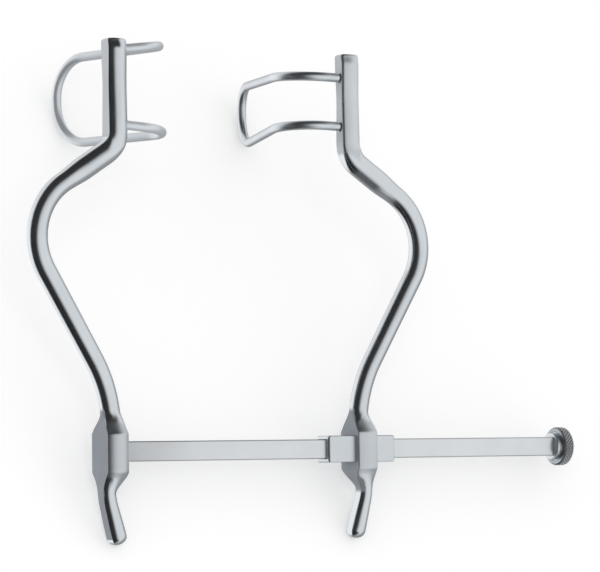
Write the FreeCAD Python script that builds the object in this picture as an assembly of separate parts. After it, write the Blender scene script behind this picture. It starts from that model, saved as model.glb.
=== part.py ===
import FreeCAD, Part
import math
import os
from collections import namedtuple

# Self retaining retractor with two bowed arms, wire loop blades and a flat crossbar.
# Millimetres. While it is built, X runs along the crossbar, Y from the front to the
# depth that the blades reach, and Z up the arms. The origin is in the middle of the bar's
# height, halfway between the two arms. At the end the whole instrument is laid on a table.

Vector = FreeCAD.Vector
ORIGIN = Vector(0, 0, 0)
ALONG = Vector(1, 0, 0)
DEEP = Vector(0, 1, 0)
UP = Vector(0, 0, 1)
FULL_TURN = 360

# Crossbar
bar_height = 6.8
bar_thickness = 4.8
bar_edge = 0.35
bar_reach = 132.5
bar_tail = 6.2

# Arms: where they stand, and the blocks that the bar goes through
arm_spacing = 98.9
block_width = 7.9
block_depth = 12.6
block_rise = 6.9
block_drop = 7.9
block_corner = 0.5
block_crown = 0.5

# Arm centreline, as corners of straight runs: outward from the block, and up from the bar
foot_inset = 0.4
lower_bend_height = 20.1
lower_bend_radius = 46.0
bow_reach = 34.1
bow_height = 78.0
bow_radius = 21.8
shoulder_inset = 2.95
shoulder_height = 102.4
shoulder_radius = 9.0

# Arm thickness: above the block, at the bow and below the shoulder
arm_foot_thickness = 6.6
arm_bow_thickness = 6.9
arm_neck_thickness = 8.2
arm_foot_edge = 1.5
foot_length = 6.0
foot_edge_fade = 10.0
foot_hollow = 1.8

# Blade seat at the arm's upper end: its width, and its depth at the top, waist and root
seat_width = 6.95
seat_top_depth = 6.6
seat_waist_depth = 5.3
seat_root_depth = 6.1
seat_corner = 0.55
seat_crown = 0.45
seat_end_rounding = 0.9

# Finger lever below the block
lever_length = 23.4
lever_neck_width = 4.8
lever_neck_depth = 5.0
lever_tip_width = 5.5
lever_tip_depth = 5.4
lever_neck_length = 6.0
lever_bend_drop = 7.5
lever_bend_radius = 22.0
lever_lean_angle = 15.5
lever_edge = 0.5
lever_crown = 0.4
lever_inner_rounding = 1.95
lever_tip_rounding = 2.6

# Blades: round wire, bent from the seat inwards, then down into the wound
wire_diameter = 3.2
wire_bend_radius = 12.5
wire_seat_depth = 3.4
wire_seat_gap = 0.05

# Wide blade, on the fixed arm
wide_upper_inward_run = 9.9
wide_lower_inward_run = 10.8
wide_bend_angle = 105.5
wide_leg = 63.35
wide_drop_from_top = 3.7
wide_span_at_seat = 25.0
wide_upper_rise_at_bend = 3.6
wide_upper_rise_at_end = 4.1
wide_lower_fall_at_bend = 1.7
wide_lower_fall_at_end = 0.9
wide_end_flat = 1.5

# Narrow blade, on the sliding arm
narrow_upper_inward_run = 8.6
narrow_lower_inward_run = 8.6
narrow_bend_angle = 107.2
narrow_leg = 64.2
narrow_drop_from_top = 8.4
narrow_span_at_seat = 17.2
narrow_upper_rise_at_bend = 0.3
narrow_upper_rise_at_end = 3.1
narrow_lower_fall_at_bend = -0.5
narrow_lower_fall_at_end = 1.3
narrow_end_flat = 2.0
narrow_upper_corner = 8.6

# Seat below the lower end of the wide blade's wire
seat_root_margin = 2.7

# Sleeve that guides the sliding arm on the bar
sleeve_clearance = 0.1
sleeve_wall_deep = 1.6
sleeve_wall_high = 1.15
sleeve_inner_reach = 11.2
sleeve_outer_reach = 8.5
sleeve_edge = 0.4
sleeve_end_rounding = 0.9
sleeve_bore_overrun = 1.0

# End screw
screw_seat_gap = 0.05
collar_radius = 4.9
collar_length = 2.1
collar_chamfer = 0.5
head_radius = 7.1
head_length = 4.0
head_chamfer = 0.7
shank_radius = 1.5
shank_length = 8.5
shank_clearance = 0.05
tapped_hole_spare = 0.6

# Silver braze
bar_braze_height = 1.0
bar_braze_length = 1.8
bar_braze_lip = 0.06
bar_braze_angles = (0, 30, 60, 90)
wire_braze = 0.45

# Sizes that follow from the ones above
arm_x = arm_spacing / 2
wire_radius = wire_diameter / 2
seat_length = wide_drop_from_top + wide_span_at_seat + seat_root_margin
shoulder_turn = math.atan2(bow_reach + shoulder_inset, shoulder_height - bow_height)
seat_root = shoulder_height + shoulder_radius * math.tan(shoulder_turn / 2)
seat_top = seat_root + seat_length
seat_x = arm_x - shoulder_inset
sleeve_depth = bar_thickness + 2 * (sleeve_clearance + sleeve_wall_deep)
sleeve_height = bar_height + 2 * (sleeve_clearance + sleeve_wall_high)
fixed_face = -arm_x + block_width / 2

# Shape of the sections and lofts, and how closely the resting tilt is found
nearly_flat = 0.24
slight_crown = 0.004
loft_steps = 6
tip_angle_step = 16
tip_last_angle = 80
same_plane = 0.01
parallel_angle = 8
surface_tolerance = 0.02
tilt_tolerance = 0.0001
least_tilt_angle = 5.0
greatest_tilt_angle = 60.0

Section = namedtuple("Section", "width depth outer_corner inner_corner crown shift")
Run = namedtuple("Run", "start direction length")
Bend = namedtuple("Bend", "start direction centre axis turn radius")


# Sections and the bodies lofted through them

def round_section(thickness):
    """A nearly round section, with the same eight edges as the others."""
    corner = (thickness - nearly_flat) / 2
    return Section(thickness, thickness, corner, corner, slight_crown, 0)


def between(first, second, share):
    """A section on the way from the first to the second."""
    return Section(*(a + (b - a) * share for a, b in zip(first, second)))


def corner_arc(centre, first, second, radius):
    """A quarter round corner from the direction first to the direction second."""
    middle = (first + second).normalize()
    return Part.Arc(centre + first * radius, centre + middle * radius, centre + second * radius)


def section_wire(centre, outward, section):
    """The outline of a section: flat outer and inner sides, crowned front and back."""
    half = section.width / 2
    apex = section.depth / 2
    shoulder = apex - section.crown
    centre = centre + outward * section.shift
    edges = []
    for side, face in ((1, -1), (-1, 1)):
        near = section.outer_corner if side > 0 else section.inner_corner
        far = section.inner_corner if side > 0 else section.outer_corner
        across = outward * side
        deep = DEEP * face
        turn_in = centre + across * (half - near) + deep * (shoulder - near)
        turn_out = centre - across * (half - far) + deep * (shoulder - far)
        flat_start = centre + across * half - deep * (shoulder - near)
        flat_end = centre + across * half + deep * (shoulder - near)
        crown_start = turn_in + deep * near
        crown_end = turn_out + deep * far
        edges.append(Part.LineSegment(flat_start, flat_end))
        edges.append(corner_arc(turn_in, across, deep, near))
        edges.append(Part.Arc(crown_start, centre + deep * apex, crown_end))
        edges.append(corner_arc(turn_out, deep, -across, far))
    return Part.Wire([edge.toShape() for edge in edges])


def eased(share):
    """A share from 0 to 1 that starts and ends level."""
    return share * share * (3 - 2 * share)


def tip_sections(section, rounding):
    """Distances past the start of a rounded end, and the sections there."""
    stations = []
    for degrees in range(0, tip_last_angle + 1, tip_angle_step):
        angle = math.radians(degrees)
        inset = rounding * (1 - math.cos(angle))
        width = section.width - 2 * inset
        depth = section.depth - 2 * inset
        share = min(width / section.width, depth / section.depth)
        stations.append((rounding * math.sin(angle), section._replace(
            width=width, depth=depth, crown=section.crown * share,
            outer_corner=section.outer_corner * share, inner_corner=section.inner_corner * share)))
    return stations


# Routes made of straight runs joined by tangent arcs

def rounded_route(corners, radii):
    """Straight runs joined by arcs of the radii, or of what the runs leave room for."""
    runs = [after - before for before, after in zip(corners, corners[1:])]
    turns = [arriving.getAngle(leaving) for arriving, leaving in zip(runs, runs[1:])]
    wanted = [0] + [radius * math.tan(turn / 2) for radius, turn in zip(radii, turns)] + [0]
    room = [min(1, run.Length / (first + second)) for run, first, second in zip(runs, wanted, wanted[1:])]
    pieces = []
    start = corners[0]
    for index, (corner, turn) in enumerate(zip(corners[1:], turns)):
        arriving = Vector(runs[index]).normalize()
        leaving = Vector(runs[index + 1]).normalize()
        share = min(room[index], room[index + 1])
        radius = radii[index] * share
        tangent = wanted[index + 1] * share
        bend_start = corner - arriving * tangent
        axis = arriving.cross(leaving).normalize()
        centre = bend_start + axis.cross(arriving) * radius
        pieces.append(Run(start, arriving, (bend_start - start).Length))
        pieces.append(Bend(bend_start, arriving, centre, axis, turn, radius))
        start = corner + leaving * tangent
    last = corners[-1] - start
    pieces.append(Run(start, Vector(last).normalize(), last.Length))
    return pieces


def piece_length(piece):
    return piece.length if isinstance(piece, Run) else piece.turn * piece.radius


def place_on_route(route, distance):
    """The point and direction that lie this far along a route."""
    for piece in route:
        if distance <= piece_length(piece) or piece is route[-1]:
            break
        distance -= piece_length(piece)
    if isinstance(piece, Run):
        return piece.start + piece.direction * distance, piece.direction
    turned = FreeCAD.Rotation(piece.axis, math.degrees(distance / piece.radius))
    return piece.centre + turned.multVec(piece.start - piece.centre), turned.multVec(piece.direction)


def section_on_route(route, distance, section):
    """A section that stands square to a route in the arm's plane, its flat side outward."""
    point, direction = place_on_route(route, distance)
    outward = DEEP.cross(direction) * math.copysign(1, direction.z)
    return section_wire(point, outward, section)


def loft_along(route, stations):
    """A solid through the sections at some distances along a route."""
    wires = [section_on_route(route, distance, section) for distance, section in stations]
    return Part.makeLoft(wires, True)


def eased_loft(route, start, end, first, second, law=eased):
    """A solid whose section goes from the first to the second between two distances."""
    shares = [step / loft_steps for step in range(loft_steps + 1)]
    return loft_along(route, [(start + (end - start) * share, between(first, second, law(share)))
                              for share in shares])


def start_of(route, index):
    """How far along a route a piece of it starts."""
    return sum(piece_length(earlier) for earlier in route[:index])


def even_bend(route, index, section, skipped=0):
    """A solid of one section round a bend of the route, past the skipped start of it."""
    bend = route[index]
    face = Part.Face(section_on_route(route, start_of(route, index) + skipped, section))
    return face.revolve(bend.centre, bend.axis, math.degrees(bend.turn - skipped / bend.radius))


def tapered_run(route, start, end, first, second):
    """A solid on a straight run that goes evenly from one section to another."""
    return loft_along(route, [(start, first), (end, second)])


def round_wire(route, radius):
    """Round wire that follows a route."""
    pieces = []
    for piece in route:
        disc = Part.Face(Part.Wire(Part.Circle(piece.start, piece.direction, radius).toShape()))
        if isinstance(piece, Run):
            pieces.append(disc.extrude(piece.direction * piece.length))
        else:
            pieces.append(disc.revolve(piece.centre, piece.axis, math.degrees(piece.turn)))
    return pieces[0].multiFuse(pieces[1:])


# Arms

block_section = Section(block_width, block_depth, block_corner, block_corner, block_crown, 0)


def hollow_foot(share):
    """The law of the hollow between the block and what grows out of it."""
    return 1 - (1 - share) ** foot_hollow


def arm_bodies(route):
    """The arm from the block's top to the end of the seat, one solid for each stretch."""
    block_top = block_section._replace(shift=foot_inset)
    foot = round_section(arm_foot_thickness)._replace(outer_corner=arm_foot_edge)
    leg = round_section(arm_foot_thickness)
    bow = round_section(arm_bow_thickness)
    neck = round_section(arm_neck_thickness)
    root = Section(seat_width, seat_root_depth, seat_corner, seat_corner, seat_crown, 0)
    waist = root._replace(depth=seat_waist_depth)
    top = root._replace(depth=seat_top_depth)
    starts = [start_of(route, index) for index in range(len(route) + 1)]
    lower_bend, slope, bow_bend, bow_end, shoulder_bend, seat, end = starts[1:]
    fade_end = max(foot_length + foot_edge_fade, lower_bend)
    neck_place = (bow_end + shoulder_bend) / 2
    seat_end = end - seat_end_rounding
    tip = [(seat_end + distance, section) for distance, section in tip_sections(top, seat_end_rounding)]
    return [
        eased_loft(route, 0, foot_length, block_top, foot, hollow_foot),
        eased_loft(route, foot_length, fade_end, foot, leg),
        even_bend(route, 1, leg, fade_end - lower_bend),
        tapered_run(route, slope, bow_bend, leg, bow),
        even_bend(route, 3, bow),
        tapered_run(route, bow_end, neck_place, bow, neck),
        eased_loft(route, neck_place, shoulder_bend, neck, root),
        even_bend(route, 5, root),
        loft_along(route, [(seat, root), ((seat + seat_end) / 2, waist), (seat_end, top)]),
        loft_along(route, tip),
    ]


def lever_bodies(route):
    """The finger lever from the block's underside to its rounded tip."""
    start = block_section._replace(shift=-(block_width - lever_neck_width) / 2)
    neck = Section(lever_neck_width, lever_neck_depth, lever_edge, lever_inner_rounding, lever_crown, 0)
    tip = neck._replace(width=lever_tip_width, depth=lever_tip_depth)
    tip_start = start_of(route, len(route)) - lever_tip_rounding
    rounded = [(tip_start + distance, section) for distance, section in tip_sections(tip, lever_tip_rounding)]
    return [
        eased_loft(route, 0, lever_neck_length, start, neck, hollow_foot),
        eased_loft(route, lever_neck_length, tip_start, neck, tip),
        loft_along(route, rounded),
    ]


def make_arm():
    """One forging with its block centred on the bar, bowing towards +X."""
    arm_route = rounded_route(
        [Vector(-foot_inset, 0, block_rise), Vector(-foot_inset, 0, lower_bend_height),
         Vector(bow_reach, 0, bow_height), Vector(-shoulder_inset, 0, shoulder_height),
         Vector(-shoulder_inset, 0, seat_top)],
        [lower_bend_radius, bow_radius, shoulder_radius])
    lever_top = Vector((block_width - lever_neck_width) / 2, 0, -block_drop)
    lever_corner = lever_top - UP * lever_bend_drop
    lean = math.radians(lever_lean_angle)
    lever_run = (lever_length - lever_bend_drop) / math.cos(lean)
    lever_end = lever_corner - Vector(math.sin(lean), 0, math.cos(lean)) * lever_run
    lever_route = rounded_route([lever_top, lever_corner, lever_end], [lever_bend_radius])
    block_face = Part.Face(section_wire(UP * -block_drop, ALONG, block_section))
    block = block_face.extrude(UP * (block_drop + block_rise))
    return block.multiFuse(arm_bodies(arm_route) + lever_bodies(lever_route))


# Blades

def blade_corners(inward_runs, bend_angle, leg, drop, span, rises, falls):
    """Corners of a wire loop: X inwards from the seat's middle, Z from the bar."""
    turn = math.radians(bend_angle)
    upper_corner, lower_corner = [
        Vector(run + wire_bend_radius * math.tan(turn / 2), 0, 0) for run in inward_runs]
    down = Vector(math.cos(turn), math.sin(turn), 0) * leg
    start = Vector(seat_width / 2 - wire_seat_depth, 0, 0)
    upper = seat_top - drop
    lower = upper - span
    return [start + UP * upper, upper_corner + UP * (upper + rises[0]),
            upper_corner + down + UP * (upper + rises[1]), lower_corner + down + UP * (lower - falls[1]),
            lower_corner + UP * (lower - falls[0]), start + UP * lower]


wide_corners = blade_corners(
    (wide_upper_inward_run, wide_lower_inward_run), wide_bend_angle, wide_leg,
    wide_drop_from_top, wide_span_at_seat,
    (wide_upper_rise_at_bend, wide_upper_rise_at_end), (wide_lower_fall_at_bend, wide_lower_fall_at_end))
wide_end_span = wide_span_at_seat + wide_upper_rise_at_end + wide_lower_fall_at_end
wide_end_radius = (wide_end_span - wide_end_flat) / 2
wide_radii = [wire_bend_radius, wide_end_radius, wide_end_radius, wire_bend_radius]

narrow_corners = blade_corners(
    (narrow_upper_inward_run, narrow_lower_inward_run), narrow_bend_angle, narrow_leg,
    narrow_drop_from_top, narrow_span_at_seat,
    (narrow_upper_rise_at_bend, narrow_upper_rise_at_end),
    (narrow_lower_fall_at_bend, narrow_lower_fall_at_end))
narrow_end_span = narrow_span_at_seat + narrow_upper_rise_at_end + narrow_lower_fall_at_end
narrow_lower_corner = narrow_end_span - narrow_end_flat - narrow_upper_corner
narrow_radii = [wire_bend_radius, narrow_upper_corner, narrow_lower_corner, wire_bend_radius]


def on_arm(corners, side):
    """Blade corners moved to the arm on that side of the middle."""
    return [Vector(side * (seat_x - corner.x), corner.y, corner.z) for corner in corners]


def wire_ends(corners):
    """Each wire end in its seat, and the direction in which the wire leaves it."""
    for end, following in ((corners[0], corners[1]), (corners[-1], corners[-2])):
        yield end, (following - end).normalize()


def seat_bores(corners):
    """The blind holes that the wire ends stand in."""
    length = wire_seat_depth + wire_radius
    bores = [Part.makeCylinder(wire_radius + wire_seat_gap, length, end, direction)
             for end, direction in wire_ends(corners)]
    return Part.makeCompound(bores)


def wire_braze_rings(side, corners):
    """A sloped braze ring round each wire end, on the flat inner face of the seat."""
    face = side * (seat_x - seat_width / 2)
    reach = wire_radius + 2 * wire_braze
    rings = []
    for end, direction in wire_ends(corners):
        outline = Part.makePolygon([Vector(wire_radius, 0, wire_braze), Vector(reach, 0, -wire_braze),
                                    Vector(wire_radius, 0, -wire_braze), Vector(wire_radius, 0, wire_braze)])
        ring = Part.Face(outline).revolve(ORIGIN, UP, FULL_TURN)
        crossing = end + direction * ((face - end.x) / direction.x)
        ring.Placement = FreeCAD.Placement(crossing, FreeCAD.Rotation(UP, direction))
        arm_side = Part.makeBox(2 * reach, 4 * reach, 4 * reach, Vector(
            face if side > 0 else face - 2 * reach, crossing.y - 2 * reach, crossing.z - 2 * reach))
        rings.append(ring.cut(arm_side))
    return Part.makeCompound(rings)


# Crossbar, sleeve and end screw

def box_between(x_start, x_end, depth, height):
    """A box along the bar's axis."""
    return Part.makeBox(x_end - x_start, depth, height, Vector(x_start, -depth / 2, -height / 2))


def edges_along(shape):
    """The long edges that run along the bar."""
    least = math.cos(math.radians(parallel_angle))
    return [edge for edge in shape.Edges
            if abs(edge.tangentAt(edge.FirstParameter).dot(ALONG)) > least]


def edges_at(shape, x):
    """The edges that lie in the plane at x."""
    return [edge for edge in shape.Edges
            if max(abs(vertex.X - x) for vertex in edge.Vertexes) < same_plane]


def make_crossbar():
    start = fixed_face - bar_tail
    bar = box_between(start, bar_reach, bar_thickness, bar_height)
    bar = bar.makeChamfer(bar_edge, edges_along(bar))
    depth = shank_length + tapped_hole_spare
    hole = Part.makeCylinder(shank_radius + shank_clearance, depth, ALONG * bar_reach, ALONG * -1)
    return bar, bar.cut(hole)


def make_sleeve():
    start = arm_x - block_width / 2 - sleeve_inner_reach
    end = arm_x + block_width / 2 + sleeve_outer_reach
    blank = box_between(start, end, sleeve_depth, sleeve_height)
    blank = blank.makeFillet(sleeve_edge, edges_along(blank))
    sleeve = blank.makeFillet(sleeve_end_rounding, edges_at(blank, start) + edges_at(blank, end))
    bore = box_between(start - sleeve_bore_overrun, end + sleeve_bore_overrun,
                       bar_thickness + 2 * sleeve_clearance, bar_height + 2 * sleeve_clearance)
    return blank, sleeve.cut(bore)


def make_end_screw():
    """Threaded shank, turned collar and round head, revolved about the bar's axis."""
    face = bar_reach + screw_seat_gap
    head_start = face + collar_length
    head_end = head_start + head_length
    outline = [
        (face - shank_length, 0), (face - shank_length, shank_radius), (face, shank_radius),
        (face, collar_radius - collar_chamfer), (face + collar_chamfer, collar_radius),
        (head_start, collar_radius), (head_start, head_radius - head_chamfer),
        (head_start + head_chamfer, head_radius), (head_end - head_chamfer, head_radius),
        (head_end, head_radius - head_chamfer), (head_end, 0)]
    points = [Vector(x, 0, radius) for x, radius in outline]
    profile = Part.Face(Part.makePolygon(points + points[:1]))
    return profile.revolve(ORIGIN, ALONG, FULL_TURN)


def make_bar_braze(bar_blank):
    """The concave fillet of braze round the bar, on the inner face of the fixed block."""
    wires = []
    for degrees in bar_braze_angles:
        angle = math.radians(degrees)
        height = bar_braze_height * (1 - math.sin(angle)) + bar_braze_lip
        x = fixed_face + bar_braze_length * (1 - math.cos(angle))
        half_depth = bar_thickness / 2 + height
        half_height = bar_height / 2 + height
        corners = [Vector(x, y, z) for y, z in (
            (-half_depth, -half_height), (half_depth, -half_height),
            (half_depth, half_height), (-half_depth, half_height))]
        wires.append(Part.makePolygon(corners + corners[:1]))
    return Part.makeLoft(wires, True, True).cut(bar_blank)


# The instrument

arm = make_arm()
sliding_blank = arm.translated(ALONG * arm_x)
fixed_blank = sliding_blank.mirror(ORIGIN, ALONG)
bar_blank, crossbar = make_crossbar()
sleeve_blank, slide_sleeve = make_sleeve()
wide_on_arm = on_arm(wide_corners, -1)
narrow_on_arm = on_arm(narrow_corners, 1)
fixed_blade = round_wire(rounded_route(wide_on_arm, wide_radii), wire_radius)
sliding_blade = round_wire(rounded_route(narrow_on_arm, narrow_radii), wire_radius)

pieces = {
    "fixed_arm": fixed_blank.cut(bar_blank).cut(seat_bores(wide_on_arm)),
    "sliding_arm": sliding_blank.cut(sleeve_blank).cut(seat_bores(narrow_on_arm)),
    "fixed_blade": fixed_blade,
    "sliding_blade": sliding_blade,
    "crossbar": crossbar,
    "slide_sleeve": slide_sleeve,
    "end_screw": make_end_screw(),
    "crossbar_braze": make_bar_braze(bar_blank),
    "fixed_blade_braze": wire_braze_rings(-1, wide_on_arm),
    "sliding_blade_braze": wire_braze_rings(1, narrow_on_arm),
}


# Laid on a table: blades down, resting on the ends of the blades and of the finger levers

def laid_over(shape, tilt):
    return shape.rotated(ORIGIN, ALONG, tilt - 90)


def lowest(points, tilt):
    """The height of the lowest of some points when the instrument lies at this tilt."""
    angle = math.radians(tilt)
    return min(point.z * math.sin(angle) - point.y * math.cos(angle) for point in points)


def resting_tilt():
    """The angle between the arms and the table, where lever and blade both touch it."""
    arm_points = arm.tessellate(surface_tolerance)[0]
    blade_points = sliding_blade.tessellate(surface_tolerance)[0]
    low, high = least_tilt_angle, greatest_tilt_angle
    while high - low > tilt_tolerance:
        middle = (low + high) / 2
        if lowest(arm_points, middle) > lowest(blade_points, middle):
            low = middle
        else:
            high = middle
    return middle


tilt = resting_tilt()
laid = {name: laid_over(shape, tilt) for name, shape in pieces.items()}
box = Part.makeCompound(list(laid.values())).optimalBoundingBox(False, False)
to_origin = Vector(-box.Center.x, -box.Center.y, -box.ZMin)

os.makedirs("parts", exist_ok=True)
for name, shape in laid.items():
    shape.translated(to_origin).exportStep(os.path.join("parts", name + ".step"))
    print(name, len(shape.Solids), "solid(s)", round(shape.Volume, 1), "mm3, valid", shape.isValid())
print("tilt", round(tilt, 3), "moved by", [round(value, 4) for value in to_origin])
print("size", round(box.XLength, 2), round(box.YLength, 2), round(box.ZLength, 2))
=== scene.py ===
import cmath
import math
from collections import namedtuple

import bmesh
import bpy
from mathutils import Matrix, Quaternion, Vector


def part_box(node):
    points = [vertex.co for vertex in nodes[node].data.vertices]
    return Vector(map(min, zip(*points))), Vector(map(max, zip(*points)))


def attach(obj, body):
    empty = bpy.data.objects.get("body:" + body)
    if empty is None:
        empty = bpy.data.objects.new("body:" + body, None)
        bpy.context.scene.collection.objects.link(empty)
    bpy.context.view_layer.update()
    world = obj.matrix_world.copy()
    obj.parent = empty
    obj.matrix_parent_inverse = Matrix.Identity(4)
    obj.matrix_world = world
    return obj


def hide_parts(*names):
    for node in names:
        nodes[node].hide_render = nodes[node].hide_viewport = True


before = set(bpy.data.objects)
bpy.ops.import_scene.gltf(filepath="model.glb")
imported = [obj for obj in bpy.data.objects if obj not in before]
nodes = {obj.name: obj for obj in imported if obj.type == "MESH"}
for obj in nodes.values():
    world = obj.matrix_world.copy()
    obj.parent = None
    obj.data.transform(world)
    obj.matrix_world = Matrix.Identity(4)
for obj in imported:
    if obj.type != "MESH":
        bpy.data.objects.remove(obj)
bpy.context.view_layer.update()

# Self retaining retractor of polished and satin steel, laid on a pale table.
# Metres. X runs along the crossbar, Y towards the blades, Z up from the table.

MM = 0.001
scene = bpy.context.scene


def middle(node):
    low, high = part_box(node)
    return (low + high) / 2


# Camera, aimed from the middle of the crossbar
camera_azimuth = -55.213
camera_elevation = 49.894
camera_roll = 48.993
camera_distance = 1.02748
camera_aim = Vector((-23.44, 46.39, 34.02)) * MM
camera_lens = 180.4
camera_sensor = 36.0
camera_reach = 20

# Light: the world's plain level, how far the table is lifted to white, and a soft lamp
world_level = 0.80
floor_lift = 0.26
floor_tone = 0.86
floor_size = 6
lamp_azimuth = -62
lamp_elevation = 64
lamp_distance = 1.1
lamp_size = 0.5
lamp_power = 1.2

# What polished steel mirrors of the room: its plain level, patches that are lighter or darker,
# and a dark band that passes on the left from behind to in front
Patch = namedtuple("Patch", "towards start end level")
room_level = 0.80
room_patches = (Patch(towards=(0.604, -0.220, -0.771), start=0.20, end=0.80, level=0.32),
                Patch(towards=(-0.433, 0.250, -0.866), start=0.70, end=0.92, level=1.00))
band_square_to = (0.191, -0.563, 0.804)
band_middle = (-0.940, 0.270, 0.210)
band_above = (0.60, 0.99)
band_below = (-0.64, -0.44)
band_along = (-0.42, -0.12)
band_level = 0.02

# Steel: red and green as shares of blue, also for the bluer painted shade on the forgings' sides, and how
# its tone and its gloss vary from place to place
steel_tint = (0.905, 0.955)
painted_shade_tint = (0.84, 0.91)
bar_tint = (0.94, 0.975)
tone_change = 0.05
tone_scale = 70
tone_reach = (0.3, 0.7)
gloss_change = 0.04
gloss_scale = 180

# Forgings: tone and roughness where they are polished and where satin, how grinding changes their gloss
# and metal, the painted shade, darker and bluer, on their sides and the seat's sides, and how far a
# surface looks along the bar where it counts as a side, an outer side or a slope
polished_tone = 0.88
satin_tone = 0.80
side_painted_shade = 0.40
seat_side_painted_shade = 0.26
polished_roughness = 0.21
satin_roughness = 0.38
ground_roughening = 0.14
ground_metallic = 0.5
forging_gloss_scale = 220
forging_grain = 1300
forging_grain_depth = 0.006 * MM
side_look = (0.84, 0.90)
outer_look = (0.90, 0.94)
slope_look = (0.35, 0.55)

# Heights along the arms at which their finish changes, and the stretch of the bar that painted shade
# makes darker
satin_top = 8.4 * MM
satin_bottom = -7.4 * MM
neck_bottom = -13.5 * MM
foot_top = 15 * MM
seat_bottom = 102 * MM
finish_fade = 2.5 * MM
bar_shade = (-78 * MM, -36 * MM)

# End screw's finish: turned rings, tones from the collar to the dish, and painted shade from the knurl's
# grooves up to a painted highlight on its ridges
turned_pitch = 0.12 * MM
turned_depth = 0.0015 * MM
turned_roughness = (0.26, 0.36)
turned_gloss_scale = 300
turned_tone_change = 0.08
head_tones = (0.88, 0.55)
knurl_painted_shade = (0.14, 1.0)
knurl_start = (-0.1 * MM, 0.05 * MM)
knurl_peak = 0.05 * MM
knurl_roughening = 0.16
knurl_metallic = 0.45

# The arms lie back from the table at this angle. Each is described in its own upright plane, in
# millimetres: across it, outward from the middle of its block, and up from the bar's axis.
arm_tilt = math.radians(21.84)
arm_up = Vector((0, math.cos(arm_tilt), math.sin(arm_tilt)))
arm_deep = Vector((0, math.sin(arm_tilt), -math.cos(arm_tilt)))
bar_middle = middle("crossbar")
arm_spacing = 98.9
foot_inset = 0.4
lower_bend_height = 20.1
bow_reach = 34.1
bow_height = 78.0
shoulder_inset = 2.95
shoulder_height = 102.4
lower_bend_radius = 46.0
bow_radius = 21.8
shoulder_radius = 9.0
seat_length = 31.4
block_rise = 6.9
block_drop = 7.9
block_rounding = 1.5
block_edge_turn = math.radians(45)
foot_length = 6.5
foot_hollow = 1.9
seat_rounding = 0.9
lever_side = 1.55
lever_bend_drop = 7.5
lever_bend_radius = 22.0
lever_lean = math.radians(15.5)
lever_length = 23.05
lever_neck_length = 6.5
lever_rounding = 2.7
end_turn = math.radians(84)

# Sections of an arm: width, depths in front and behind, radii of the outer and inner edges, rise
# of the crowned front and back, and how far the middle stands outward
Section = namedtuple("Section", "width front back outer inner front_crown back_crown shift")
block_section = Section(7.9, 7.2, 6.3, 0.5, 0.5, 1.5, 0.5, 0)
leg_section = Section(6.6, 3.3, 3.3, 3.2, 3.2, 0.02, 0.02, 0)
bow_section = Section(6.9, 3.45, 3.45, 3.35, 3.35, 0.02, 0.02, 0)
neck_section = Section(8.0, 4.0, 4.0, 3.9, 3.9, 0.02, 0.02, 0)
root_section = Section(6.95, 4.6, 3.05, 0.45, 0.6, 2.1, 0.4, 0)
waist_section = Section(6.95, 4.2, 2.65, 0.45, 0.6, 2.0, 0.4, 0)
top_section = Section(6.95, 4.3, 3.3, 0.45, 0.6, 1.8, 0.4, 0)
end_section = Section(6.95, 3.2, 3.3, 0.45, 0.6, 1.0, 0.4, 0)
lever_section = Section(4.8, 3.7, 2.5, 0.45, 1.85, 1.8, 0.5, 0)
lever_tip_section = Section(5.6, 3.8, 2.7, 0.45, 1.95, 1.8, 0.6, 0)

# The sliding arm's front is ground flatter on its block and its seat
flat_block = {"front": 6.5, "front_crown": 0.7}
flat_seat = {"inner": 1.3}
flat_seat_drop = 1.2
seat_end_fall = 3.2

# How finely the arms are divided: along them, along a flat side, and round corners, crowns and ends
ring_spacing = 0.8
flat_shares = (0, 0.06, 0.5, 0.94)
corner_steps = 8
crown_steps = 14
end_steps = 6

# Slots through the blocks: their start and end outward, depth and height
slots = {"fixed_arm": (-5.0, 2.25, 4.8, 6.8), "sliding_arm": (-6.0, 6.0, 8.2, 9.3)}
sharp_angle = math.radians(50)

# End screw, as radii and as lengths along its axis
screw_head_radius = 7.1 * MM
screw_head_length = 4.0 * MM
screw_head_chamfer = 0.7 * MM
screw_lip_width = 0.1 * MM
screw_lip_fall = 0.08 * MM
screw_collar_radius = 4.9 * MM
screw_collar_length = 2.1 * MM
screw_collar_chamfer = 0.5 * MM
screw_collar_edge = 0.15 * MM
screw_shank_radius = 1.5 * MM
screw_tip_length = 0.3 * MM
screw_tip_fall = 0.25 * MM
screw_neck_radius = 3.4 * MM
screw_groove_radius = 4.3 * MM
screw_groove = 0.35 * MM
screw_dish_radius = 5.4 * MM
screw_dish = 0.25 * MM
screw_dish_inner_wall = 0.1 * MM
screw_dish_outer_wall = 0.2 * MM
screw_centre_radius = 0.7 * MM
knurl_count = 34
knurl_depth = 0.42 * MM
knurl_steps = 6
knurl_pitch = 2 * math.pi * screw_head_radius / knurl_count


# Camera

def towards_viewpoint(azimuth, elevation):
    azimuth = math.radians(azimuth)
    elevation = math.radians(elevation)
    return Vector((math.sin(azimuth) * math.cos(elevation),
                   -math.cos(azimuth) * math.cos(elevation), math.sin(elevation)))


def aim_camera():
    back = towards_viewpoint(camera_azimuth, camera_elevation)
    camera = bpy.data.objects.new("camera", bpy.data.cameras.new("camera"))
    scene.collection.objects.link(camera)
    camera.data.lens = camera_lens
    camera.data.sensor_width = camera_sensor
    camera.data.clip_end = camera_reach
    camera.location = bar_middle + camera_aim + back * camera_distance
    level = back.to_track_quat("Z", "Y")
    camera.rotation_mode = "QUATERNION"
    camera.rotation_quaternion = level @ Quaternion((0, 0, 1), math.radians(camera_roll))
    scene.camera = camera


# Materials

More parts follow.
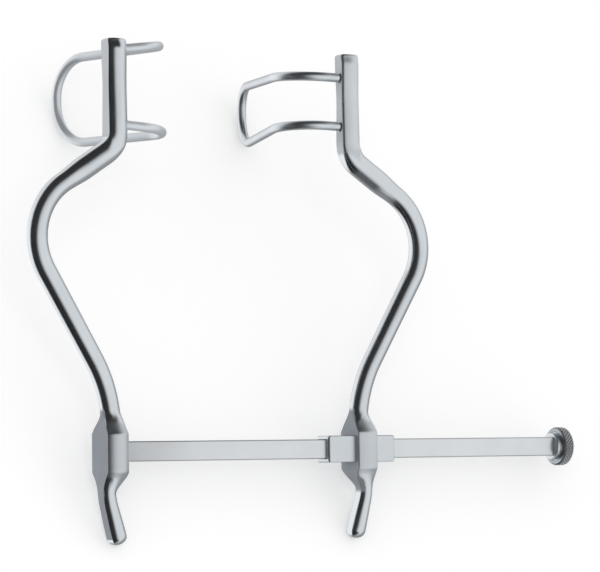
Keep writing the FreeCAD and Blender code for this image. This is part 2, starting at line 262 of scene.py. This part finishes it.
class Graph:
    """The nodes of a material or of the world, under construction."""

    def __init__(self, owner):
        owner.use_nodes = True
        self.tree = owner.node_tree

    def node(self, kind, **values):
        made = self.tree.nodes.new(kind)
        for key, value in values.items():
            setattr(made, key, value)
        return made

    def link(self, source, target):
        self.tree.links.new(source, target)

    def put(self, value, socket):
        """Feed a socket with a number, or with another node's result."""
        if isinstance(value, bpy.types.NodeSocket):
            self.link(value, socket)
        else:
            socket.default_value = value

    def spread(self, source, low, high, start=0.0, end=1.0):
        """A smooth passage from low to high while the source goes from start to end."""
        made = self.node("ShaderNodeMapRange", interpolation_type="SMOOTHSTEP")
        made.inputs["From Min"].default_value = start
        made.inputs["From Max"].default_value = end
        self.put(low, made.inputs["To Min"])
        self.put(high, made.inputs["To Max"])
        self.link(source, made.inputs["Value"])
        return made.outputs["Result"]

    def along(self, vector, direction):
        made = self.node("ShaderNodeVectorMath", operation="DOT_PRODUCT")
        self.link(vector, made.inputs[0])
        made.inputs[1].default_value = direction
        return made.outputs["Value"]

    def coordinate(self, vector, axis):
        parts = self.node("ShaderNodeSeparateXYZ")
        self.link(vector, parts.inputs["Vector"])
        return parts.outputs[axis]


class Shader(Graph):
    """A node material under construction."""

    def __init__(self, name):
        self.material = bpy.data.materials.new(name)
        super().__init__(self.material)
        self.surface = self.tree.nodes["Principled BSDF"]

    def place(self):
        return self.node("ShaderNodeTexCoord").outputs["Object"]

    def place_from(self, point):
        moved = self.node("ShaderNodeVectorMath", operation="SUBTRACT")
        self.link(self.place(), moved.inputs[0])
        moved.inputs[1].default_value = point
        return moved.outputs["Vector"]

    def looks_along_bar(self):
        """How far the surface looks along the bar, towards +X or -X."""
        return self.coordinate(self.node("ShaderNodeTexCoord").outputs["Normal"], "X")

    def math(self, operation, *values):
        made = self.node("ShaderNodeMath", operation=operation)
        for value, socket in zip(values, made.inputs):
            self.put(value, socket)
        return made.outputs[0]

    def times(self, first, second):
        return self.math("MULTIPLY", first, second)

    def plus(self, first, second):
        return self.math("ADD", first, second)

    def less(self, first, second):
        return self.math("SUBTRACT", first, second)

    def most(self, first, *others):
        for other in others:
            first = self.math("MAXIMUM", first, other)
        return first

    def noise(self, scale, detail, stretch=(1, 1, 1)):
        mapping = self.node("ShaderNodeMapping")
        mapping.inputs["Scale"].default_value = stretch
        texture = self.node("ShaderNodeTexNoise")
        texture.inputs["Scale"].default_value = scale
        texture.inputs["Detail"].default_value = detail
        self.link(self.place(), mapping.inputs["Vector"])
        self.link(mapping.outputs["Vector"], texture.inputs["Vector"])
        return texture.outputs["Fac"]

    def bump(self, height, distance):
        made = self.node("ShaderNodeBump")
        made.inputs["Strength"].default_value = 1
        made.inputs["Distance"].default_value = distance
        self.link(height, made.inputs["Height"])
        self.link(made.outputs["Normal"], self.surface.inputs["Normal"])

    def colour(self, tone, change, tint):
        """Colour the surface in a cool grey that changes a little from place to place."""
        uneven = self.spread(self.noise(tone_scale, detail=3), 1 - change, 1, *tone_reach)
        value = self.times(uneven, tone)
        red, green = tint
        mixed = self.node("ShaderNodeCombineColor")
        self.link(self.times(value, red), mixed.inputs["Red"])
        self.link(self.times(value, green), mixed.inputs["Green"])
        self.link(value, mixed.inputs["Blue"])
        self.link(mixed.outputs["Color"], self.surface.inputs["Base Color"])


def steel(name, tone, roughness, grain, depth, stretch=(1, 1, 1), metallic=1, painted_shade_near_block=None):
    """Stainless steel with a faint change of tone and gloss, and fine polishing marks. Only the bar
    has painted shade, a darker tone near the fixed block."""
    shader = Shader(name)
    shader.surface.inputs["Metallic"].default_value = metallic
    if painted_shade_near_block:
        # Painted shade: the bar darkens towards the fixed block
        along_bar = shader.coordinate(shader.place(), "X")
        shader.colour(shader.spread(along_bar, painted_shade_near_block, tone, *bar_shade), tone_change, bar_tint)
    else:
        shader.colour(tone, tone_change, steel_tint)
    gloss = shader.spread(shader.noise(gloss_scale, detail=4), roughness - gloss_change,
                          roughness + gloss_change)
    shader.link(gloss, shader.surface.inputs["Roughness"])
    shader.bump(shader.noise(grain, detail=2, stretch=stretch), depth)
    return shader.material


def arm_steel(name, outward, satin_seat):
    """Polished forging, with its block and its flat side faces given a satin grinding finish. Painted
    shade makes its flat sides from the lever's neck to the foot, its outer side below the foot and the
    inward slope under its block darker and bluer, and the seat's sides darker. Outward is the direction
    along the bar in which its outer side looks."""
    shader = Shader(name)
    height = shader.along(shader.place_from(bar_middle), arm_up)
    look = shader.looks_along_bar()
    side = shader.spread(shader.math("ABSOLUTE", look), 0, 1, *side_look)
    outer_side = shader.spread(shader.times(look, outward), 0, 1, *outer_look)
    inner_slope = shader.spread(shader.times(look, -outward), 0, 1, *slope_look)

    above_neck = shader.spread(height, 0, 1, neck_bottom - finish_fade, neck_bottom)
    above_satin = shader.spread(height, 0, 1, satin_bottom - finish_fade, satin_bottom)
    below_block = shader.spread(height, 1, 0, satin_bottom, satin_bottom + finish_fade)
    below_satin = shader.spread(height, 1, 0, satin_top, satin_top + finish_fade)
    below_foot = shader.spread(height, 1, 0, foot_top - finish_fade, foot_top)
    seat = shader.spread(height, 0, 1, seat_bottom, seat_bottom + finish_fade)

    ground_and_shaded = shader.most(shader.times(shader.times(above_neck, below_foot), side),
                         shader.times(below_foot, outer_side),
                         shader.times(shader.times(above_neck, below_block), inner_slope))
    satin = shader.most(shader.times(above_satin, below_satin), ground_and_shaded)
    seat_side = shader.times(seat, side)
    dull = shader.most(satin, seat if satin_seat else seat_side)

    # Painted shade: the sides, the outer side and the inner slope masked above are darker and bluer
    tone = shader.less(shader.spread(satin, polished_tone, satin_tone),
                       shader.spread(ground_and_shaded, 0, side_painted_shade))
    # Painted shade: the seat's side faces are darker
    tone = shader.less(tone, shader.spread(seat_side, 0, seat_side_painted_shade))
    tint = [shader.spread(ground_and_shaded, plain, changed) for plain, changed in zip(steel_tint, painted_shade_tint)]
    shader.colour(tone, tone_change, tint)
    shader.link(shader.spread(shader.most(ground_and_shaded, seat_side), 1.0, ground_metallic),
                shader.surface.inputs["Metallic"])
    gloss = shader.plus(shader.spread(dull, polished_roughness, satin_roughness),
                        shader.spread(ground_and_shaded, 0, ground_roughening))
    uneven = shader.spread(shader.noise(forging_gloss_scale, detail=4), -gloss_change, gloss_change)
    shader.link(shader.plus(gloss, uneven), shader.surface.inputs["Roughness"])
    shader.bump(shader.noise(forging_grain, detail=3), forging_grain_depth)
    return shader.material


def turned_steel():
    """Steel with fine rings round the screw's axis, and painted shade on its rim, dark in its knurl's
    grooves and rising to a painted highlight on its ridges.
    """
    shader = Shader("turned_steel")
    place = shader.place_from(middle("end_screw"))
    radius = shader.math("SQRT", shader.plus(shader.math("POWER", shader.coordinate(place, "Y"), 2.0),
                                             shader.math("POWER", shader.coordinate(place, "Z"), 2.0)))
    groove_floor = screw_head_radius - knurl_depth
    knurl = shader.spread(radius, 0, 1, *(groove_floor + step for step in knurl_start))
    # Painted shade in the knurl's grooves, rising to a painted highlight at its ridges
    ridges = shader.spread(radius, *knurl_painted_shade, groove_floor + knurl_start[1],
                           screw_head_radius - knurl_peak)
    head = shader.spread(radius, *head_tones, screw_collar_radius, screw_dish_radius)
    tone = shader.plus(shader.times(head, shader.less(1.0, knurl)), shader.times(ridges, knurl))
    shader.colour(tone, turned_tone_change, steel_tint)
    shader.link(shader.spread(knurl, 1.0, knurl_metallic), shader.surface.inputs["Metallic"])
    gloss = shader.plus(shader.spread(shader.noise(turned_gloss_scale, detail=4), *turned_roughness),
                        shader.times(knurl, knurl_roughening))
    shader.link(gloss, shader.surface.inputs["Roughness"])
    shader.bump(shader.math("SINE", shader.times(radius, 2 * math.pi / turned_pitch)), turned_depth)
    return shader.material


finishes = {
    "fixed_arm": arm_steel("forged_steel", outward=-1.0, satin_seat=False),
    "sliding_arm": arm_steel("forged_steel_satin_seat", outward=1.0, satin_seat=True),
    "fixed_blade": steel("matt_wire", tone=0.90, roughness=0.35, grain=900, depth=0.001 * MM,
                         metallic=0.68),
    "sliding_blade": steel("drawn_wire", tone=0.90, roughness=0.35, grain=900, depth=0.001 * MM),
    "crossbar": steel("ground_bar", tone=0.92, roughness=0.34, grain=1500, depth=0.008 * MM,
                      stretch=(0.15, 1, 1), painted_shade_near_block=0.66),
    "slide_sleeve": steel("ground_sleeve", tone=0.88, roughness=0.36, grain=1500, depth=0.008 * MM),
    "end_screw": turned_steel(),
    "crossbar_braze": steel("silver_braze", tone=0.74, roughness=0.30, grain=700, depth=0.008 * MM),
}
finishes["fixed_blade_braze"] = finishes["crossbar_braze"]
finishes["sliding_blade_braze"] = finishes["crossbar_braze"]


def finish_nodes():
    for name, material in finishes.items():
        nodes[name].material_slots[0].material = material


# Meshes

def skin(mesh, rings):
    """Faces from each ring of points to the next. A ring may be a single point."""
    columns = max(len(ring) for ring in rings)
    for first, second in zip(rings, rings[1:]):
        for place in range(columns):
            following = (place + 1) % columns
            corners = (first[place % len(first)], first[following % len(first)],
                       second[following % len(second)], second[place % len(second)])
            mesh.faces.new(list(dict.fromkeys(corners)))


def add_piece(name, mesh):
    """A new object from a mesh that is finished."""
    bmesh.ops.recalc_face_normals(mesh, faces=mesh.faces)
    data = bpy.data.meshes.new(name)
    mesh.to_mesh(data)
    mesh.free()
    piece = bpy.data.objects.new(name, data)
    scene.collection.objects.link(piece)
    return piece


# Arms

def between(first, second, share):
    return Section(*(a + (b - a) * share for a, b in zip(first, second)))


def even(share):
    return share


def eased(share):
    return share * share * (3 - 2 * share)


def hollow(share):
    return 1 - (1 - share) ** foot_hollow


def rounded_route(corners, radii):
    """Runs and bends as start, direction, length and curvature, in the plane of complex numbers."""
    pieces = []
    start = corners[0]
    for before, corner, after, radius in zip(corners, corners[1:], corners[2:], radii):
        arriving = (corner - before) / abs(corner - before)
        leaving = (after - corner) / abs(after - corner)
        turn = cmath.phase(leaving / arriving)
        tangent = radius * math.tan(abs(turn) / 2)
        bend_start = corner - arriving * tangent
        pieces.append((start, arriving, abs(bend_start - start), 0))
        pieces.append((bend_start, arriving, radius * abs(turn), math.copysign(1 / radius, turn)))
        start = corner + leaving * tangent
    last = corners[-1] - start
    pieces.append((start, last / abs(last), abs(last), 0))
    return pieces


def place_on(route, distance):
    """The point and direction this far along a route."""
    for piece in route:
        start, direction, length, curvature = piece
        if distance <= length or piece is route[-1]:
            break
        distance -= length
    if curvature == 0:
        return start + direction * distance, direction
    turned = cmath.exp(1j * curvature * distance)
    return start + direction * (turned - 1) / (1j * curvature), direction * turned


def crown_and_corner(half, apex, crown, corner):
    """Radius of a crowned face, and where the centre of a corner that runs on into it lies."""
    bow = (half ** 2 + crown ** 2) / (2 * crown)
    return bow, apex - bow + math.sqrt((bow - corner) ** 2 - (half - corner) ** 2)


def arc(across, deep, radius, first, last, steps):
    angles = [first + (last - first) * step / steps for step in range(steps)]
    return [(across + radius * math.cos(angle), deep + radius * math.sin(angle)) for angle in angles]


def half_outline(half, behind, crown_behind, ahead, crown, near, far):
    """Half of a section: a flat side from edge to edge, a corner, the crowned face, a corner."""
    side_start = -crown_and_corner(half, behind, crown_behind, near)[1]
    bow, near_deep = crown_and_corner(half, ahead, crown, near)
    far_deep = crown_and_corner(half, ahead, crown, far)[1]
    first = math.atan2(near_deep - ahead + bow, half - near)
    last = math.pi - math.atan2(far_deep - ahead + bow, half - far)
    points = [(half, side_start + (near_deep - side_start) * share) for share in flat_shares]
    points += arc(half - near, near_deep, near, 0, first, corner_steps)
    points += arc(0, ahead - bow, bow, first, last, crown_steps)
    return points + arc(far - half, far_deep, far, last, math.pi, corner_steps)


def arm_ring(route, distance, section):
    """Points of a section square to a route, as across, deep and up."""
    point, direction = place_on(route, distance)
    outward = direction / 1j * math.copysign(1, direction.imag)
    front = section.front, section.front_crown
    back = section.back, section.back_crown
    first = half_outline(section.width / 2, *front, *back, section.outer, section.inner)
    second = half_outline(section.width / 2, *back, *front, section.inner, section.outer)
    ring = []
    for across, deep in [(a, d) for a, d in first] + [(-a, -d) for a, d in second]:
        place = point + outward * (across + section.shift)
        ring.append((place.real, deep, place.imag))
    return ring


def stretch(route, start, end, first, second, law=even, deep_law=None):
    """Rings between two distances, the first left out. Depths may follow a law of their own."""
    steps = max(2, math.ceil((end - start) / ring_spacing))
    rings = []
    for step in range(1, steps + 1):
        share = step / steps
        section = between(first, second, law(share))
        if deep_law:
            deep = between(first, second, deep_law(share))
            section = section._replace(front=deep.front, back=deep.back)
        rings.append(arm_ring(route, start + (end - start) * share, section))
    return rings


def smaller(section, inset):
    """A section drawn in all round."""
    share = 1 - 2 * inset / section.width
    return Section(*(size * share for size in section[:-1]), section.shift)


def shallower(section, inset):
    """A section drawn in at its front and back alone."""
    return section._replace(front=section.front - inset, back=section.back - inset)


def rounded_end(route, start, section, rounding, last_turn, drawn_in):
    """Rings over a rounded end or edge, the first left out."""
    rings = []
    for step in range(1, end_steps + 1):
        turn = last_turn * step / end_steps
        inset = rounding * (1 - math.cos(turn))
        rings.append(arm_ring(route, start + rounding * math.sin(turn), drawn_in(section, inset)))
    return rings


def block_rings(route, block, rise, end, section):
    """Rings from the middle of a block over its rounded edges to the part that leaves it."""
    edge = rise - block_rounding
    rings = stretch(route, 0, edge, block, block)
    rings += rounded_end(route, edge, block, block_rounding, block_edge_turn, shallower)
    start = edge + block_rounding * math.sin(block_edge_turn)
    narrowed = shallower(block, block_rounding * (1 - math.cos(block_edge_turn)))
    return rings + stretch(route, start, end, narrowed, section, eased, hollow)


def flatter_seat(section):
    drop = flat_seat_drop * section.front_crown / root_section.front_crown
    return section._replace(front=section.front - drop, front_crown=section.front_crown - drop,
                            **flat_seat)


def arm_rings(flat):
    """All rings of an arm, from the finger lever's tip to the end of the blade seat."""
    shoulder_turn = math.atan2(bow_reach + shoulder_inset, shoulder_height - bow_height)
    seat_root = shoulder_height + shoulder_radius * math.tan(shoulder_turn / 2)
    route = rounded_route(
        [complex(-foot_inset, 0), complex(-foot_inset, lower_bend_height), complex(bow_reach, bow_height),
         complex(-shoulder_inset, shoulder_height), complex(-shoulder_inset, seat_root + seat_length)],
        [lower_bend_radius, bow_radius, shoulder_radius])
    starts = [sum(piece[2] for piece in route[:count]) for count in range(len(route) + 1)]
    slope, bow, bow_end, shoulder, seat, end = starts[2:]
    block = block_section._replace(**flat_block) if flat else block_section
    seat_sections = [root_section, waist_section, top_section, end_section]
    if flat:
        seat_sections = [flatter_seat(section) for section in seat_sections]
    root, waist, top, last = seat_sections
    foot_end = block_rise + foot_length
    neck = (bow_end + shoulder) / 2
    seat_middle = (seat + end) / 2
    seat_end = end - seat_rounding
    seat_fall = end - seat_end_fall
    rings = [arm_ring(route, 0, block._replace(shift=foot_inset))]
    rings += block_rings(route, block._replace(shift=foot_inset), block_rise, foot_end, leg_section)
    rings += stretch(route, foot_end, slope, leg_section, leg_section)
    rings += stretch(route, slope, bow, leg_section, bow_section)
    rings += stretch(route, bow, bow_end, bow_section, bow_section)
    rings += stretch(route, bow_end, neck, bow_section, neck_section, eased)
    rings += stretch(route, neck, shoulder, neck_section, neck_section)
    rings += stretch(route, shoulder, seat, neck_section, root, eased)
    rings += stretch(route, seat, seat_middle, root, waist, eased)
    rings += stretch(route, seat_middle, seat_fall, waist, top, eased)
    rings += stretch(route, seat_fall, seat_end, top, last)
    rings += rounded_end(route, seat_end, last, seat_rounding, end_turn, smaller)
    return lever_rings(block) + rings


def lever_rings(block):
    """Rings of the finger lever, from its tip to the middle of the block, the last left out."""
    corner = complex(lever_side, -block_drop - lever_bend_drop)
    run = (lever_length - lever_bend_drop) / math.cos(lever_lean)
    end = corner - run * complex(math.sin(lever_lean), math.cos(lever_lean))
    route = rounded_route([complex(lever_side, 0), corner, end], [lever_bend_radius])
    length = sum(piece[2] for piece in route)
    neck_end = block_drop + lever_neck_length
    tip = length - lever_rounding
    rings = block_rings(route, block._replace(shift=-lever_side), block_drop, neck_end, lever_section)
    rings += stretch(route, neck_end, tip, lever_section, lever_tip_section, eased)
    rings += rounded_end(route, tip, lever_tip_section, lever_rounding, end_turn, smaller)
    return rings[::-1]


def cut_slot(piece, node, place_in_arm):
    """Cut the square slot of the bar or its sleeve out of an arm's block."""
    start, end, depth, height = slots[node]
    mesh = bmesh.new()
    corners = [[mesh.verts.new(place_in_arm(across, deep * depth / 2, up * height / 2))
                for deep, up in ((-1, -1), (1, -1), (1, 1), (-1, 1))] for across in (start, end)]
    skin(mesh, corners)
    mesh.faces.new(corners[0])
    mesh.faces.new(corners[1])
    cutter = add_piece("slot", mesh)
    cut = piece.modifiers.new("slot", "BOOLEAN")
    cut.object = cutter
    bpy.context.view_layer.update()
    shaped = bpy.data.meshes.new_from_object(piece.evaluated_get(bpy.context.evaluated_depsgraph_get()))
    piece.modifiers.clear()
    piece.data = shaped
    bpy.data.objects.remove(cutter)
    shaped.set_sharp_from_angle(angle=sharp_angle)


def make_arm(node, body, side, flat):
    """An arm on that side of the middle, in place of its plain solid."""
    centre_x = (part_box("fixed_arm")[0].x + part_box("sliding_arm")[1].x) / 2
    centre = Vector((centre_x + side * arm_spacing / 2 * MM, bar_middle.y, bar_middle.z))

    def place_in_arm(across, deep, up):
        return centre + (Vector((side * across, 0, 0)) + arm_deep * deep + arm_up * up) * MM

    mesh = bmesh.new()
    rings = [[mesh.verts.new(place_in_arm(*point)) for point in ring]
             for ring in arm_rings(flat)]
    skin(mesh, rings)
    mesh.faces.new(rings[0])
    mesh.faces.new(rings[-1])
    for face in mesh.faces:
        face.smooth = True
    piece = add_piece(node + "_forging", mesh)
    piece.data.materials.append(finishes[node])
    cut_slot(piece, node, place_in_arm)
    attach(piece, body)
    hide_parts(node)


# End screw

def knurl_depth_at(turn, travel):
    """How deep the diamond knurl is cut there, from 0 at its peaks."""
    around = turn * knurl_count / (2 * math.pi)
    ridges = [abs(((around + side * travel / knurl_pitch) % 1) * 2 - 1) for side in (1, -1)]
    return knurl_depth * max(ridges)


def screw_profile(tip, end):
    """Places along the axis and radii: up to the rim, along the rim, and over the end face."""
    head = end - screw_head_length
    face = head - screw_collar_length
    groove = head - screw_groove
    rim_start = head + screw_head_chamfer
    rim_end = end - screw_head_chamfer
    rim_steps = round((rim_end - rim_start) / knurl_pitch * knurl_steps)
    chamfer_radius = screw_head_radius - screw_head_chamfer
    before = [
        (tip, 0),
        (tip, screw_shank_radius - screw_tip_fall),
        (tip + screw_tip_length, screw_shank_radius),
        (face, screw_shank_radius),
        (face, screw_neck_radius),
        (face, screw_collar_radius - screw_collar_chamfer),
        (face + screw_collar_edge, screw_collar_radius - screw_collar_edge),
        (face + screw_collar_chamfer, screw_collar_radius),
        (groove - screw_collar_edge, screw_collar_radius),
        (groove, screw_collar_radius - screw_collar_edge),
        (groove, screw_groove_radius),
        (head, screw_groove_radius),
        (head + screw_dish, screw_groove_radius + screw_dish_inner_wall),
        (head + screw_dish, screw_dish_radius - screw_dish_outer_wall),
        (head, screw_dish_radius),
        (head, chamfer_radius - screw_lip_width),
        (head + screw_lip_fall, chamfer_radius)]
    rim = [(rim_start + (rim_end - rim_start) * step / rim_steps, screw_head_radius)
           for step in range(rim_steps + 1)]
    after = [
        (end - screw_lip_fall, chamfer_radius),
        (end, chamfer_radius - screw_lip_width),
        (end, screw_centre_radius),
        (end - screw_centre_radius, 0)]
    return before, rim, after


def make_screw():
    low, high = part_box("end_screw")
    axis = (low + high) / 2
    columns = knurl_steps * knurl_count
    before, rim, after = screw_profile(low.x, high.x)
    mesh = bmesh.new()
    rings = []
    for place, (x, radius) in enumerate(before + rim + after):
        on_rim = len(before) <= place < len(before) + len(rim)
        if radius == 0:
            rings.append([mesh.verts.new((x, axis.y, axis.z))])
            continue
        ring = []
        for column in range(columns):
            turn = 2 * math.pi * column / columns
            reach = radius - (knurl_depth_at(turn, x - rim[0][0]) if on_rim else 0)
            y = axis.y + reach * math.sin(turn)
            z = axis.z + reach * math.cos(turn)
            ring.append(mesh.verts.new((x, y, z)))
        rings.append(ring)
    skin(mesh, rings)
    piece = add_piece("knurled_screw", mesh)
    piece.data.materials.append(finishes["end_screw"])
    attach(piece, "screw")
    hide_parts("end_screw")


# Studio

def white_world():
    """White to the camera, plain to dull surfaces, and a room with a dark band to polished ones."""
    world = bpy.data.worlds.new("studio")
    scene.world = world
    graph = Graph(world)
    direction = graph.node("ShaderNodeTexCoord").outputs["Generated"]
    room = room_level
    for patch in room_patches:
        towards = graph.along(direction, patch.towards)
        room = graph.spread(towards, room, patch.level, patch.start, patch.end)
    across = graph.along(direction, band_square_to)
    banded = graph.spread(across, band_level, room, *band_above)
    banded = graph.spread(across, room, banded, *band_below)
    room = graph.spread(graph.along(direction, band_middle), room, banded, *band_along)
    path = graph.node("ShaderNodeLightPath")
    level = graph.spread(path.outputs["Is Glossy Ray"], world_level, room)
    level = graph.spread(path.outputs["Is Camera Ray"], level, 1)
    background = graph.tree.nodes["Background"]
    background.inputs["Color"].default_value = (1, 1, 1, 1)
    graph.link(level, background.inputs["Strength"])


def pale_floor():
    bpy.ops.mesh.primitive_plane_add(size=floor_size, location=(0, 0, 0))
    floor = bpy.context.object
    floor.name = "table"
    shader = Shader("table_top")
    surface = shader.surface
    surface.inputs["Base Color"].default_value = (floor_tone, floor_tone, floor_tone, 1)
    surface.inputs["Roughness"].default_value = 1
    surface.inputs["Specular IOR Level"].default_value = 0
    surface.inputs["Emission Color"].default_value = (1, 1, 1, 1)
    path = shader.node("ShaderNodeLightPath")
    seen = shader.most(path.outputs["Is Camera Ray"], path.outputs["Is Glossy Ray"])
    shader.link(shader.times(seen, floor_lift), surface.inputs["Emission Strength"])
    floor.data.materials.append(shader.material)
    floor.visible_glossy = False


def soft_lamp():
    back = towards_viewpoint(lamp_azimuth, lamp_elevation)
    light = bpy.data.lights.new("soft_lamp", "AREA")
    light.size = lamp_size
    light.energy = lamp_power
    lamp = bpy.data.objects.new("soft_lamp", light)
    scene.collection.objects.link(lamp)
    lamp.visible_glossy = False
    lamp.location = back * lamp_distance
    lamp.rotation_mode = "QUATERNION"
    lamp.rotation_quaternion = back.to_track_quat("Z", "Y")


aim_camera()
finish_nodes()
make_arm("fixed_arm", "fixed_side", side=-1, flat=False)
make_arm("sliding_arm", "sliding_side", side=1, flat=True)
make_screw()
white_world()
pale_floor()
soft_lamp()

scene.view_settings.view_transform = "Standard"
